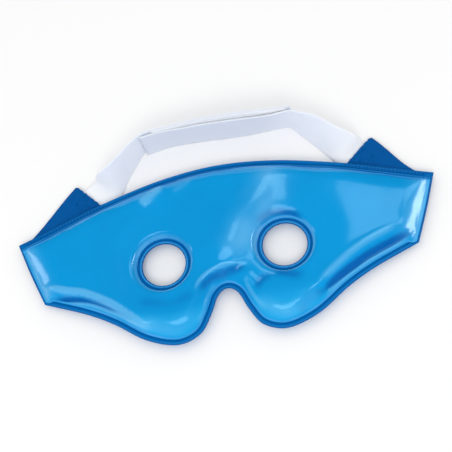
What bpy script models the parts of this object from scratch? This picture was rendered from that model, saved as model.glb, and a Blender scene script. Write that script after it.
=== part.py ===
"""Gel eye mask with a two-part head strap, built as separate sub-parts.

The mask lies on its back: front film up (+Z), forehead edge and strap towards +Y.
Each piece is drawn in millimetres from the apex of the nose notch, then shifted so the
part's bounding box is centred on the origin, and stored in metres.
"""
import math

import bmesh
import bpy
from mathutils import Vector
from mathutils.geometry import delaunay_2d_cdt

MM = 0.001
ORIGIN_Y = 33.769           # bounding-box centre, measured from the apex of the nose notch

# Mask outline, right half. The left half is its mirror image.
TOP_EDGE = [(0.0, 70.6), (30.0, 67.8), (60.0, 60.7), (86.0, 52.9), (112.0, 44.6)]
END_EDGE = [(112.0, 44.6), (105.2, 26.2), (97.6, 8.0)]
BOTTOM_EDGE = [(97.6, 8.0), (75.0, -1.4), (60.0, -9.5), (44.0, -20.4), (28.0, -25.5),
               (16.0, -21.7), (9.6, -12.5), (5.2, -3.2), (0.0, 0.0)]
OUTLINE_STEP = 5.0

EYE_X, EYE_Y = 31.8, 18.5   # centre of the eye hole
EYE_R = 11.5
EYE_SIDES = 24
FLANGE = 2.8                # width of the welded seam round the outline and the eye holes

GAP = 0.3                   # between neighbouring pieces
FILM_T = 0.6
SEAM_Z = 4.8                # height of the seam plane in the middle of the mask
SEAM_DROP = 1.55            # the seam plane is this much lower at the two ends
SEAM_DROP_FROM, SEAM_DROP_TO = 60.0, 105.0
FRONT_RISE, FRONT_RUN = 5.0, 14.0
BACK_RUN = 12.0             # the back film then lies flat on z = 0
DOME_POWER = 2.6
GEL_INSET = 1.6             # the gel stops this far inside the seam
RING_OFFSETS = (FLANGE, FLANGE + GEL_INSET, 7.4)
INNER_RING = 12.0           # sparser ring where the dome is almost flat
GRID_STEP = 7.5
GRID_CLEAR = 15.0

# Tabs: flat strips welded under the end seams and folded in behind the mask.
TAB_W, TAB_T = 26.0, 1.0
TAB_Z = 1.2                 # underside of the tab
TAB_CORNER_R = 2.5
TAB_ROOT_EDGE = 0.6         # the welded root runs between these distances from the end edge
TAB_ROOT_W = 3.0
LEFT_TAB_TIP, LEFT_TAB_ANGLE = (-78.5, 75.0), 43.3
RIGHT_TAB_TIP, RIGHT_TAB_ANGLE = (84.2, 72.3), 48.0
TAB_LINE_A, TAB_LINE_B = (61.0, 57.0), (101.0, 14.0)   # the back film stays flat outside this line
TAB_FADE = 17.0

# Straps
STRAP_W, STRAP_T = 18.0, 0.9
STRAP_LAP = 10.0            # length of strap under the tab
STRAP_ON_TAB = 14.0         # strap centre line from the tab's tip, along the tab's end edge
CLOSURE_Y = 89.2            # middle of the front strap where the two straps overlap
FRONT_END_X = -37.0
BEND_X = 40.0
FLAP_START_X, FLAP_END_X = -33.0, 45.5
PATCH_T, PATCH_W = 0.8, 15.0
HOOK_X = (-35.0, 39.0)
LOOP_X = (-31.0, 43.5)

# Stitching
STITCH_BOX = (13.0, 7.0)
STITCH_W, STITCH_T = 0.7, 0.4


def smooth(t):
    t = min(max(t, 0.0), 1.0)
    return t * t * (3.0 - 2.0 * t)


def material(name, color, roughness, transmission=0.0):
    """Principled material that gives a node its colour and gloss."""
    mat = bpy.data.materials.new(name)
    mat.use_nodes = True
    mat.diffuse_color = (*color, 1.0)
    shader = mat.node_tree.nodes["Principled BSDF"]
    shader.inputs["Base Color"].default_value = (*color, 1.0)
    shader.inputs["Roughness"].default_value = roughness
    shader.inputs["Transmission Weight"].default_value = transmission
    return mat


def add_object(name, verts, faces, mat, shade_smooth=False):
    """Object from points in millimetres; face normals are turned outwards."""
    mesh = bpy.data.meshes.new(name)
    mesh.from_pydata([(x * MM, (y - ORIGIN_Y) * MM, z * MM) for x, y, z in verts], [], faces)
    bm = bmesh.new()
    bm.from_mesh(mesh)
    bmesh.ops.recalc_face_normals(bm, faces=bm.faces)
    for face in bm.faces:
        face.smooth = shade_smooth
    bm.to_mesh(mesh)
    bm.free()
    mesh.materials.append(mat)
    obj = bpy.data.objects.new(name, mesh)
    bpy.context.scene.collection.objects.link(obj)
    return obj


def spline(points, step):
    """Points at about equal steps along a Catmull-Rom curve through the given points."""
    ends = [tuple(2 * a - b for a, b in zip(points[0], points[1])),
            tuple(2 * a - b for a, b in zip(points[-1], points[-2]))]
    chain = [Vector(p) for p in [ends[0], *points, ends[1]]]
    fine = []
    for p0, p1, p2, p3 in zip(chain, chain[1:], chain[2:], chain[3:]):
        for i in range(24):
            t = i / 24
            fine.append(0.5 * (2 * p1 + (p2 - p0) * t + (2 * p0 - 5 * p1 + 4 * p2 - p3) * t ** 2
                               + (3 * p1 - p0 - 3 * p2 + p3) * t ** 3))
    fine.append(chain[-2])
    lengths = [0.0]
    for a, b in zip(fine, fine[1:]):
        lengths.append(lengths[-1] + (b - a).length)
    count = max(1, round(lengths[-1] / step))
    result = []
    k = 0
    for i in range(count + 1):
        target = lengths[-1] * i / count
        while k < len(fine) - 2 and lengths[k + 1] < target:
            k += 1
        t = (target - lengths[k]) / (lengths[k + 1] - lengths[k])
        result.append(fine[k].lerp(fine[k + 1], min(max(t, 0.0), 1.0)))
    return result


def mask_outline():
    """Closed outline of the mask, anticlockwise."""
    right = spline(TOP_EDGE, OUTLINE_STEP)[:-1]
    right += spline(END_EDGE, OUTLINE_STEP)[:-1]
    right += spline(BOTTOM_EDGE, OUTLINE_STEP)
    left = [Vector((-p.x, p.y)) for p in right[1:-1]]
    return left + list(reversed(right))


def segment_distance(p, a, b):
    ab = b - a
    t = min(max((p - a).dot(ab) / ab.length_squared, 0.0), 1.0)
    return (p - a - ab * t).length


def outline_distance(p, outline):
    return min(segment_distance(p, a, b) for a, b in zip(outline, outline[1:] + outline[:1]))


def eye_centres():
    return [Vector((side * EYE_X, EYE_Y)) for side in (-1, 1)]


def edge_distance(p, outline):
    """Distance to the nearest cut edge: the outline or an eye hole."""
    holes = min((p - c).length for c in eye_centres()) - EYE_R
    return min(outline_distance(p, outline), holes)


def is_inside(p, loop):
    inside = False
    for a, b in zip(loop, loop[1:] + loop[:1]):
        if (a.y > p.y) != (b.y > p.y) and p.x < (b.x - a.x) * (p.y - a.y) / (b.y - a.y) + a.x:
            inside = not inside
    return inside


def inset_loop(outline, distance):
    """Outline moved inwards with mitred corners; points that crowd a corner are dropped."""
    moved = []
    for before, here, after in zip(outline[-1:] + outline[:-1], outline, outline[1:] + outline[:1]):
        n1 = Vector((before.y - here.y, here.x - before.x)).normalized()
        n2 = Vector((here.y - after.y, after.x - here.x)).normalized()
        p = here + (n1 + n2) * (distance / (1.0 + n1.dot(n2)))
        if outline_distance(p, outline) > 0.96 * distance:
            moved.append(p)
    return moved


def circle(centre, radius, sides):
    return [centre + Vector((math.cos(2 * math.pi * i / sides), math.sin(2 * math.pi * i / sides))) * radius
            for i in range(sides)]


def triangulate(points, loops):
    """Constrained triangles over the points; every loop's edges are kept."""
    edges = []
    for start, count in loops:
        edges += [(start + i, start + (i + 1) % count) for i in range(count)]
    coords, _, faces, *_ = delaunay_2d_cdt(points, edges, [], 0, 1e-4)
    return [Vector(c) for c in coords], faces


def mask_triangles():
    """Flat triangle mesh of the mask, with the eye holes left open."""
    outline = mask_outline()
    points, loops = [], []

    def add_loop(loop, keep_edges=True):
        if keep_edges:
            loops.append((len(points), len(loop)))
        points.extend(loop)

    add_loop(outline)
    for offset in RING_OFFSETS:
        add_loop(inset_loop(outline, offset), offset < RING_OFFSETS[-1])
    sparse = inset_loop(outline, INNER_RING)[::2]
    add_loop([p for p in sparse if edge_distance(p, outline) > INNER_RING * 0.9], False)
    for centre in eye_centres():
        for offset in (0.0, *RING_OFFSETS):
            add_loop(circle(centre, EYE_R + offset, EYE_SIDES), offset < RING_OFFSETS[-1])
        add_loop(circle(centre, EYE_R + INNER_RING, EYE_SIDES // 2), False)
    columns = int(112.0 / GRID_STEP)
    for row in range(-4, 12):
        for column in range(-columns, columns + 1):
            p = Vector(((column + 0.5 * (row % 2)) * GRID_STEP, row * GRID_STEP * 0.87))
            if is_inside(p, outline) and edge_distance(p, outline) > GRID_CLEAR:
                points.append(p)
    coords, faces = triangulate(points, loops)
    kept = []
    for face in faces:
        middle = sum((coords[i] for i in face), Vector((0.0, 0.0))) / len(face)
        in_hole = min((middle - c).length for c in eye_centres()) < EYE_R * math.cos(math.pi / EYE_SIDES)
        if is_inside(middle, outline) and not in_hole:
            kept.append(tuple(face))
    return coords, kept, outline


def seam_height(p):
    return SEAM_Z - SEAM_DROP * smooth((abs(p.x) - SEAM_DROP_FROM) / (SEAM_DROP_TO - SEAM_DROP_FROM))


def dome(distance, run):
    t = min(max((distance - FLANGE) / run, 0.0), 1.0)
    return 1.0 - (1.0 - t) ** DOME_POWER


def front_height(p, distance):
    """Inner face of the front film."""
    return seam_height(p) + GAP / 2 + FRONT_RISE * dome(distance, FRONT_RUN)


def back_height(p, distance):
    """Inner face of the back film, which stays flat where it lies over a tab."""
    a, b = Vector(TAB_LINE_A), Vector(TAB_LINE_B)
    normal = Vector((a.y - b.y, b.x - a.x)).normalized()
    inside = -(Vector((abs(p.x), p.y)) - a).dot(normal)
    seam = seam_height(p) - GAP / 2
    return seam + (FILM_T - seam) * dome(distance, BACK_RUN) * smooth(inside / TAB_FADE)


def closed_shell(name, coords, faces, lower, upper, mat):
    """Closed body between two heights over the same flat triangles."""
    used = sorted({i for face in faces for i in face})
    slot = {i: k for k, i in enumerate(used)}
    count = len(used)
    verts = [(*coords[i], lower[i]) for i in used] + [(*coords[i], upper[i]) for i in used]
    top = [tuple(slot[i] + count for i in face) for face in faces]
    bottom = [tuple(slot[i] for i in reversed(face)) for face in faces]
    directed = {(slot[a], slot[b]) for face in faces for a, b in zip(face, face[1:] + face[:1])}
    walls = [(a, b, b + count, a + count) for a, b in sorted(directed) if (b, a) not in directed]
    return add_object(name, verts, top + bottom + walls, mat, shade_smooth=True)


def build_mask(film_mat, gel_mat):
    coords, faces, outline = mask_triangles()
    distance = [edge_distance(p, outline) for p in coords]
    front = [front_height(p, d) for p, d in zip(coords, distance)]
    back = [back_height(p, d) for p, d in zip(coords, distance)]
    closed_shell("front_film", coords, faces, front, [z + FILM_T for z in front], film_mat)
    closed_shell("back_film", coords, faces, [z - FILM_T for z in back], back, film_mat)
    gel_edge = (FLANGE + GEL_INSET) * 0.97
    gel_faces = [f for f in faces if min(distance[i] for i in f) > gel_edge]
    closed_shell("gel_fill", coords, gel_faces, [z + GAP for z in back], [z - GAP for z in front], gel_mat)


def plate(name, loops, z_low, z_high, mat):
    """Flat plate; the first loop is its outline and the others are holes."""
    points, spans = [], []
    for loop in loops:
        spans.append((len(points), len(loop)))
        points.extend(loop)
    coords, faces = triangulate(points, spans)
    kept = []
    for face in faces:
        middle = sum((coords[i] for i in face), Vector((0.0, 0.0))) / len(face)
        if is_inside(middle, loops[0]) and not any(is_inside(middle, hole) for hole in loops[1:]):
            kept.append(tuple(face))
    low, high = [z_low] * len(coords), [z_high] * len(coords)
    closed_shell(name, coords, kept, low, high, mat).data.shade_flat()


def tab_axes(side, angle):
    """Unit vectors of a tab: along it from the seam to its end, and across it."""
    a = math.radians(angle)
    along = Vector((-side * math.cos(a), math.sin(a)))
    across = Vector((-side * math.sin(a), -math.cos(a)))
    return along, across


def end_line(side, inset):
    """A point on the mask's end edge moved inwards, and the edge's inward direction."""
    top, bottom = Vector(END_EDGE[0]), Vector(END_EDGE[-1])
    inward = Vector((top.y - bottom.y, bottom.x - top.x)).normalized() * -1.0
    point = top + inward * inset
    return Vector((side * point.x, point.y)), Vector((side * inward.x, inward.y))


def meet_end(start, along, side, inset):
    """Where a line from start, running back along the tab, meets the inset end edge."""
    point, inward = end_line(side, inset)
    return start - along * ((start - point).dot(inward) / along.dot(inward))


def tab_outline(side, tip, angle):
    along, across = tab_axes(side, angle)
    far_a = Vector(tip)
    far_b = far_a + across * TAB_W
    inset = TAB_ROOT_EDGE + TAB_ROOT_W + GAP
    near_a = meet_end(far_a, along, side, inset)
    near_b = meet_end(far_b, along, side, inset)
    corners = []
    for centre, start in ((far_a + across * TAB_CORNER_R - along * TAB_CORNER_R, -across),
                          (far_b - across * TAB_CORNER_R - along * TAB_CORNER_R, along)):
        turn = -1.0 if along.cross(across) > 0 else 1.0
        for i in range(5):
            a = -turn * math.pi / 2 * i / 4
            corners.append(centre + Vector((start.x * math.cos(a) - start.y * math.sin(a),
                                            start.x * math.sin(a) + start.y * math.cos(a))) * TAB_CORNER_R)
    return [near_a, *corners, near_b]


def tab_root_outline(side, tip, angle):
    along, across = tab_axes(side, angle)
    far_a = Vector(tip)
    far_b = far_a + across * TAB_W
    return [meet_end(far_a, along, side, TAB_ROOT_EDGE), meet_end(far_b, along, side, TAB_ROOT_EDGE),
            meet_end(far_b, along, side, TAB_ROOT_EDGE + TAB_ROOT_W),
            meet_end(far_a, along, side, TAB_ROOT_EDGE + TAB_ROOT_W)]


def stitch_loops(side, tip, angle):
    """Outer and inner rectangle of the box stitch over the lapped strap end."""
    along, across = tab_axes(side, angle)
    centre = Vector(tip) + across * STRAP_ON_TAB - along * (STRAP_LAP / 2)
    loops = []
    for inset in (0.0, STITCH_W):
        half_a, half_b = STITCH_BOX[0] / 2 - inset, STITCH_BOX[1] / 2 - inset
        loops.append([centre + across * half_a * i + along * half_b * j
                      for i, j in ((-1, -1), (1, -1), (1, 1), (-1, 1))])
    return loops


def build_tab(prefix, side, tip, angle, mat, thread_mat):
    top = TAB_Z + TAB_T
    plate(prefix + "_tab", [tab_outline(side, tip, angle)], TAB_Z, top, mat)
    plate(prefix + "_tab_root", [tab_root_outline(side, tip, angle)], TAB_Z, top, mat)
    plate(prefix + "_tab_stitching", stitch_loops(side, tip, angle), top + GAP, top + GAP + STITCH_T,
          thread_mat)


def ribbon(name, stations, thickness, mat):
    """Band with a rectangular section through (lower edge, upper edge) pairs, kept above z = 0."""
    verts, faces = [], []
    centres = [(a + b) / 2 for a, b in stations]
    for i, (low, high) in enumerate(stations):
        tangent = centres[min(i + 1, len(centres) - 1)] - centres[max(i - 1, 0)]
        normal = tangent.cross(high - low).normalized() * (thickness / 2)
        corners = [low - normal, high - normal, high + normal, low + normal]
        lift = Vector((0.0, 0.0, max(0.0, -min(c.z for c in corners))))
        verts += [c + lift for c in corners]
    for i in range(len(stations) - 1):
        k = 4 * i
        faces += [(k + j, k + (j + 1) % 4, k + 4 + (j + 1) % 4, k + 4 + j) for j in range(4)]
    last = 4 * (len(stations) - 1)
    faces += [(0, 1, 2, 3), (last + 3, last + 2, last + 1, last)]
    return add_object(name, [tuple(v) for v in verts], faces, mat)


def strap_station(x, y, heading, tilt):
    """Edge pair of a strap: lower edge at (x, y), upper edge turned up by tilt degrees.

    heading is the plan direction from the lower edge to the upper edge, in degrees.
    """
    h, t = math.radians(heading), math.radians(tilt)
    low = Vector((x, y, STRAP_T / 2 * math.cos(t)))
    rise = Vector((math.cos(h) * math.cos(t), math.sin(h) * math.cos(t), math.sin(t)))
    return low, low + rise * STRAP_W


def blend_stations(keys, steps):
    """Straps turn smoothly between their key stations (x, y, heading, tilt)."""
    curve = []
    padded = [keys[0], *keys, keys[-1]]
    for p0, p1, p2, p3 in zip(padded, padded[1:], padded[2:], padded[3:]):
        for i in range(steps):
            t = i / steps
            curve.append([0.5 * (2 * b + (c - a) * t + (2 * a - 5 * b + 4 * c - d) * t ** 2
                                 + (3 * b - a - 3 * c + d) * t ** 3)
                          for a, b, c, d in zip(p0, p1, p2, p3)])
    curve.append(keys[-1])
    return [strap_station(x, y, heading, max(tilt, 0.0)) for x, y, heading, tilt in curve]


def lapped_start(side, tip, angle):
    """Lower edge of the strap at its hidden end and at the tab's end edge."""
    along, across = tab_axes(side, angle)
    edge = Vector(tip) + across * (STRAP_ON_TAB + STRAP_W / 2)
    hidden = edge - along * STRAP_LAP
    heading = math.degrees(math.atan2(-across.y, -across.x)) % 360.0
    return hidden, edge, heading


def closure_station(x, behind, inset=0.0):
    """Edge pair of an upright band in the closure, this far behind the front strap's middle."""
    y = CLOSURE_Y + behind
    return Vector((x, y, inset)), Vector((x, y, STRAP_W - inset))


def closure_depths():
    """Distances of the hook patch, loop patch and rear strap behind the front strap."""
    hook = STRAP_T / 2 + GAP + PATCH_T / 2
    loop = hook + PATCH_T + GAP
    rear = loop + PATCH_T / 2 + GAP + STRAP_T / 2
    return hook, loop, rear


def build_straps(band_mat, hook_mat, loop_mat):
    hook, loop, rear = closure_depths()

    hidden, edge, heading = lapped_start(-1, LEFT_TAB_TIP, LEFT_TAB_ANGLE)
    left = blend_stations([
        (hidden.x, hidden.y, heading, 0.0), (edge.x, edge.y, heading, 0.0),
        (-53.7, 66.8, 134.0, 30.0), (-45.8, 77.8, 136.0, 60.0), (-40.4, 87.6, 122.0, 84.0),
        (-36.8, CLOSURE_Y + rear - 0.9, 100.0, 90.0)], 5)
    left.append(closure_station(FLAP_START_X - GAP, rear))
    ribbon("left_strap", left, STRAP_T, band_mat)
    ribbon("left_strap_end", [closure_station(x, rear) for x in (FLAP_START_X, FLAP_END_X)],
           STRAP_T, band_mat)

    hidden, edge, heading = lapped_start(1, RIGHT_TAB_TIP, RIGHT_TAB_ANGLE)
    right = blend_stations([
        (hidden.x, hidden.y, heading, 0.0), (edge.x, edge.y, heading, 0.0),
        (58.5, 68.4, 45.0, 25.0), (51.5, 77.8, 44.0, 55.0), (46.0, 85.2, 52.0, 80.0),
        (43.0, 88.3, 72.0, 90.0)], 5)
    right.append(closure_station(BEND_X, 0.0))
    right.append(closure_station(FRONT_END_X, 0.0))
    ribbon("right_strap", right, STRAP_T, band_mat)

    inset = (STRAP_W - PATCH_W) / 2
    ribbon("hook_patch", [closure_station(x, hook, inset) for x in HOOK_X], PATCH_T, hook_mat)
    ribbon("loop_patch", [closure_station(x, loop, inset) for x in LOOP_X], PATCH_T, loop_mat)


def main():
    for obj in list(bpy.data.objects):
        bpy.data.objects.remove(obj, do_unlink=True)
    film = material("blue_vinyl", (0.02, 0.30, 0.72), 0.15)
    gel = material("blue_gel", (0.05, 0.45, 0.85), 0.2, 0.5)
    tab = material("blue_fabric", (0.01, 0.10, 0.36), 0.8)
    thread = material("blue_thread", (0.01, 0.08, 0.30), 0.7)
    band = material("white_strap", (0.85, 0.86, 0.88), 0.75)
    hook = material("white_hook", (0.88, 0.88, 0.90), 0.5)
    loop = material("white_loop", (0.82, 0.83, 0.86), 0.9)
    build_mask(film, gel)
    build_tab("left", -1, LEFT_TAB_TIP, LEFT_TAB_ANGLE, tab, thread)
    build_tab("right", 1, RIGHT_TAB_TIP, RIGHT_TAB_ANGLE, tab, thread)
    build_straps(band, hook, loop)


main()
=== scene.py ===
"""Looks of the gel eye mask: the film pillow, fabric tabs, straps, camera and studio light."""

import math

import bmesh
import bpy
import numpy as np
from mathutils import Matrix, Vector
from mathutils.geometry import delaunay_2d_cdt

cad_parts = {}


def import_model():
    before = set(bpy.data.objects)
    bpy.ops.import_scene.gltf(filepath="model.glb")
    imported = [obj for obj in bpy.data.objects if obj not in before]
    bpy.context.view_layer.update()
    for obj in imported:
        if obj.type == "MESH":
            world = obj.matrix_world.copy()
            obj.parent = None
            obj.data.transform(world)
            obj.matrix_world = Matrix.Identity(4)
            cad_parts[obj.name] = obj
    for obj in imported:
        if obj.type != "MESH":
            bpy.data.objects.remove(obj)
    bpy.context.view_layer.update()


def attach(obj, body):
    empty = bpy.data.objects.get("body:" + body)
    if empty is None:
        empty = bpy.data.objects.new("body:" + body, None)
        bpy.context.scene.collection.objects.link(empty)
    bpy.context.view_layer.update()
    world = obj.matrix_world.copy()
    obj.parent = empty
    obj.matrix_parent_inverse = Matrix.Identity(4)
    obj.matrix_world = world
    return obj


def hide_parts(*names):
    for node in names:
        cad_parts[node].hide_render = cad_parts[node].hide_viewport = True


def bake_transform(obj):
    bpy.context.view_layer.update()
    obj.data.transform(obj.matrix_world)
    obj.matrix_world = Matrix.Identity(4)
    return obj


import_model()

norm = np.linalg.norm
MM = 0.001
# Drawn in millimetres from the apex of the nose notch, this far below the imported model's origin.
ORIGIN_Y = 33.769

TOP_EDGE = [(0.0, 70.6), (30.0, 67.8), (60.0, 60.7), (86.0, 52.9), (112.0, 44.6)]
END_EDGE = [(112.0, 44.6), (105.2, 26.2), (97.6, 8.0)]
BOTTOM_EDGE = [(97.6, 8.0), (75.0, -1.4), (60.0, -9.5), (44.0, -20.4), (28.0, -25.5),
               (16.0, -21.7), (9.6, -12.5), (5.2, -3.2), (0.0, 0.0)]
EYE_X, EYE_Y, EYE_R = 31.8, 18.5, 11.5
# The height where the two films meet drops between these distances from the middle.
SEAM_Z, SEAM_DROP = 4.8, 1.55
SEAM_DROP_FROM, SEAM_DROP_TO = 60.0, 105.0
TAB_W, TAB_T, TAB_Z = 26.0, 1.0, 1.2
TAB_LINE_A, TAB_LINE_B = (61.0, 57.0), (101.0, 14.0)  # the back film lies over a tab beyond it
TAB_FADE = 17.0
# Name, side, outer corner of the free end, angle, and how far the outer edge curves in at the
# waist and at the root.
TABS = (
    ("left", -1, (-78.5, 75.0), 43.3, 1.0, 1.7),
    ("right", 1, (84.2, 72.3), 48.0, 2.2, 0.2))
STRAP_W, STRAP_T, STRAP_LAP, STRAP_ON_TAB = 18.0, 0.9, 10.0, 14.0
PATCH_W = 17.0
HOOK_X, LOOP_X = (-35.0, 39.0), (-31.0, 43.5)
STITCH_BOX = (13.0, 7.0)


# ---- camera
CAMERA_AIM = Vector((2.7, 0.5, 4.8)) * MM
CAMERA_AZIMUTH, CAMERA_ELEVATION, CAMERA_ROLL = 18.0, 64.0, 26.2
CAMERA_DISTANCE = 467.0 * MM
CAMERA_LENS = 71.5
SENSOR_WIDTH = 36.0


def make_camera():
    """Camera that looks at the aim from an azimuth and elevation, rolled about its own axis."""
    data = bpy.data.cameras.new("camera")
    cam = bpy.data.objects.new("camera", data)
    bpy.context.scene.collection.objects.link(cam)
    az, el, roll = (math.radians(v) for v in (CAMERA_AZIMUTH, CAMERA_ELEVATION, CAMERA_ROLL))
    back = Vector((math.sin(az) * math.cos(el), -math.cos(az) * math.cos(el), math.sin(el)))
    right = Vector((math.cos(az), math.sin(az), 0.0))
    up = back.cross(right)
    cam_x = right * math.cos(roll) - up * math.sin(roll)
    cam_y = right * math.sin(roll) + up * math.cos(roll)
    rotation = Matrix((cam_x, cam_y, back)).transposed()
    cam.matrix_world = Matrix.Translation(CAMERA_AIM + back * CAMERA_DISTANCE) @ rotation.to_4x4()
    data.lens = CAMERA_LENS
    data.sensor_width = SENSOR_WIDTH
    data.clip_start, data.clip_end = 0.01, 10.0
    bpy.context.scene.camera = cam


# ---- helpers
CURVE_PARTS = 24  # straight parts between two given points of a curve
TINY = 1e-12


def smooth(t):
    """Eases from 0 to 1 as t goes from 0 to 1, and stays there outside."""
    t = np.clip(t, 0.0, 1.0)
    return t * t * (3.0 - 2.0 * t)


def world(p):
    """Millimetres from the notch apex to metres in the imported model's frame."""
    p = np.asarray(p, float)
    return np.stack([p[..., 0], p[..., 1] - ORIGIN_Y, p[..., 2]], -1) * MM


def spline(points, step):
    """Points at about equal steps along a Catmull-Rom curve through the given points."""
    pts = np.array(points, float)
    chain = np.vstack([2 * pts[0] - pts[1], pts, 2 * pts[-1] - pts[-2]])
    fine = []
    for p0, p1, p2, p3 in zip(chain, chain[1:], chain[2:], chain[3:]):
        for i in range(CURVE_PARTS):
            t = i / CURVE_PARTS
            fine.append(0.5 * (2 * p1 + (p2 - p0) * t + (2 * p0 - 5 * p1 + 4 * p2 - p3) * t ** 2
                               + (3 * p1 - p0 - 3 * p2 + p3) * t ** 3))
    fine = np.array(fine + [pts[-1]])
    length = np.concatenate([[0.0], np.cumsum(norm(np.diff(fine, axis=0), axis=1))])
    count = max(1, round(length[-1] / step))
    where = np.linspace(0.0, length[-1], count + 1)
    return np.stack([np.interp(where, length, fine[:, k]) for k in range(fine.shape[1])], 1)


def path_distance(p, path, closed=False):
    """Distance from points to a polyline, and where along it the nearest point lies (0 to 1)."""
    a = path
    b = np.roll(path, -1, axis=0) if closed else path[1:]
    a = a if closed else path[:-1]
    best = np.full(len(p), np.inf)
    where = np.zeros(len(p))
    ab = b - a
    size = (ab ** 2).sum(1)
    start = np.concatenate([[0.0], np.cumsum(np.sqrt(size))])
    for k in range(len(a)):
        t = np.clip(((p - a[k]) @ ab[k]) / max(size[k], TINY), 0.0, 1.0)
        d = norm(p - a[k] - t[:, None] * ab[k], axis=1)
        closer = d < best
        best[closer] = d[closer]
        where[closer] = (start[k] + t[closer] * math.sqrt(size[k])) / start[-1]
    return best, where


def inside_loop(p, loop):
    """Which points lie inside a closed loop."""
    result = np.zeros(len(p), bool)
    for a, b in zip(loop, np.roll(loop, -1, axis=0)):
        if a[1] == b[1]:
            continue
        crosses = (a[1] > p[:, 1]) != (b[1] > p[:, 1])
        x = (b[0] - a[0]) * (p[:, 1] - a[1]) / (b[1] - a[1]) + a[0]
        result ^= crosses & (p[:, 0] < x)
    return result


def sleeve(rings, n, base=0):
    """Faces between rings of n points each, numbered from base."""
    faces = []
    for here in range(base, base + (rings - 1) * n, n):
        for k in range(n):
            m = (k + 1) % n
            faces.append((here + k, here + m, here + n + m, here + n + k))
    return faces


def new_mesh(name, verts, faces, shade_smooth=True):
    mesh = bpy.data.meshes.new(name)
    mesh.from_pydata([tuple(v) for v in verts], [], faces)
    mesh.update()
    if shade_smooth:
        mesh.shade_smooth()
    obj = bpy.data.objects.new(name, mesh)
    bpy.context.scene.collection.objects.link(obj)
    return obj


def point_attribute(obj, name, values):
    layer = obj.data.attributes.new(name, "FLOAT", "POINT")
    layer.data.foreach_set("value", np.asarray(values, np.float32))


# ---- mask pillow
# Distances from the edges at which rings of points follow them.
RINGS = (0.0, 0.25, 0.6, 1.2, 1.9, 2.4, 2.75, 3.05, 3.35, 3.7, 4.1, 4.6, 5.3, 6.2, 7.3)
OUTLINE_STEP = 1.5
GRID_STEP = 1.45
ROW_HEIGHT = 0.866  # rows of a triangular grid lie this many steps apart
GRID_GAP = 0.8  # steps left free between the last ring and the grid
RING_CROWDING = 0.97  # a ring point nearer to the outline than this share is dropped
EYE_RING_GAIN = 0.6  # wider rings round an eye hole have slightly more points
EYE_RING_TURN = 0.03  # each ring is turned a little, so the triangles do not line up
EYE_TOLERANCE = 0.999  # triangles with their middle within this share of the hole go
MERGE = 1e-5
EYES = np.array([(-EYE_X, EYE_Y), (EYE_X, EYE_Y)])

# Heights above or below the seam plane by distance from the edge: cut edge, weld, bead.
FLANGE_PROFILE = (
    (0.0, 0.0), (0.25, 0.38), (0.6, 0.46), (1.2, 0.48), (1.9, 0.42), (2.4, 0.30),
    (2.75, 0.30), (3.05, 0.50), (3.35, 0.62), (3.7, 0.56), (4.1, 0.44))
FRONT_RISE, FRONT_RUN, FRONT_POWER = 5.3, 10.5, 2.4
EYE_RUN = 3.3  # the film rises more steeply round the eye holes
LOW_AT_EYES = 0.74  # share of the full height that the film reaches beside the eye holes
EYE_CLEAR, EYE_REACH = 3.0, 17.0  # the height grows over this reach, from this far off the hole
BACK_RUN, BACK_POWER = 13.0, 2.6
BACK_REST = 0.1  # height of the back film where the mask rests
DOME_START = 2.7  # the film leaves the weld at this distance from the edge
ARCH_DROP, ARCH_POWER = 2.6, 3  # the gel is this much thinner at the two ends
END_NARROW = 1.6  # along the two ends the weld is 1 / (1 + this) as wide
END_FULL, END_FADE = 1.3, 4.0  # it is normal again END_FULL * END_FADE away from an end
FOLD_ENDS = 0.24  # share of a fold's length over which each of its ends fades


def across_middle(points):
    """The right half's points, given from the middle outwards, joined to their mirror image."""
    return [(-x, y) for x, y in reversed(points[1:])] + list(points)


def mask_outline(step):
    """Closed outline, anticlockwise from the right top corner."""
    end = np.array(END_EDGE)
    top, bottom = across_middle(TOP_EDGE)[::-1], across_middle(BOTTOM_EDGE[::-1])
    runs = (top, end * (-1.0, 1.0), bottom, end[::-1])
    return np.vstack([spline(run, step)[:-1] for run in runs])


def inset_loop(outline, distance):
    """Outline moved inwards with mitred corners; points that crowd a corner are dropped."""
    before, after = np.roll(outline, 1, axis=0), np.roll(outline, -1, axis=0)

    def inward(d):
        n = np.stack([-d[:, 1], d[:, 0]], 1)
        return n / norm(n, axis=1)[:, None]

    n1, n2 = inward(outline - before), inward(after - outline)
    scale = distance / (1.0 + (n1 * n2).sum(1))
    moved = outline + (n1 + n2) * scale[:, None]
    if distance > 0:
        moved = moved[path_distance(moved, outline, True)[0] > RING_CROWDING * distance]
    return moved


def eye_distance(p):
    """Distance from points to the edge of the nearer eye hole."""
    return np.min([norm(p - c, axis=1) for c in EYES], axis=0) - EYE_R


def weld_distance(p, distance):
    """Distance from the edge as the weld sees it: the weld is narrower along the two ends."""
    fold = np.stack([np.abs(p[:, 0]), p[:, 1]], 1)
    near_end = smooth(END_FULL - path_distance(fold, np.array(END_EDGE))[0] / END_FADE)
    return distance * (1.0 + END_NARROW * near_end)


def mask_loops(outline):
    """Rings of points along the outline and the eye holes; the first of each set is the edge."""
    loops = [inset_loop(outline, ring) for ring in RINGS]
    for centre in EYES:
        for ring in RINGS:
            sides = round(2 * math.pi * (EYE_R + ring * EYE_RING_GAIN) / OUTLINE_STEP)
            angle = np.linspace(0.0, 2 * math.pi, sides, endpoint=False) + EYE_RING_TURN * ring
            loops.append(centre + (EYE_R + ring) * np.stack([np.cos(angle), np.sin(angle)], 1))
    return loops


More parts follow.
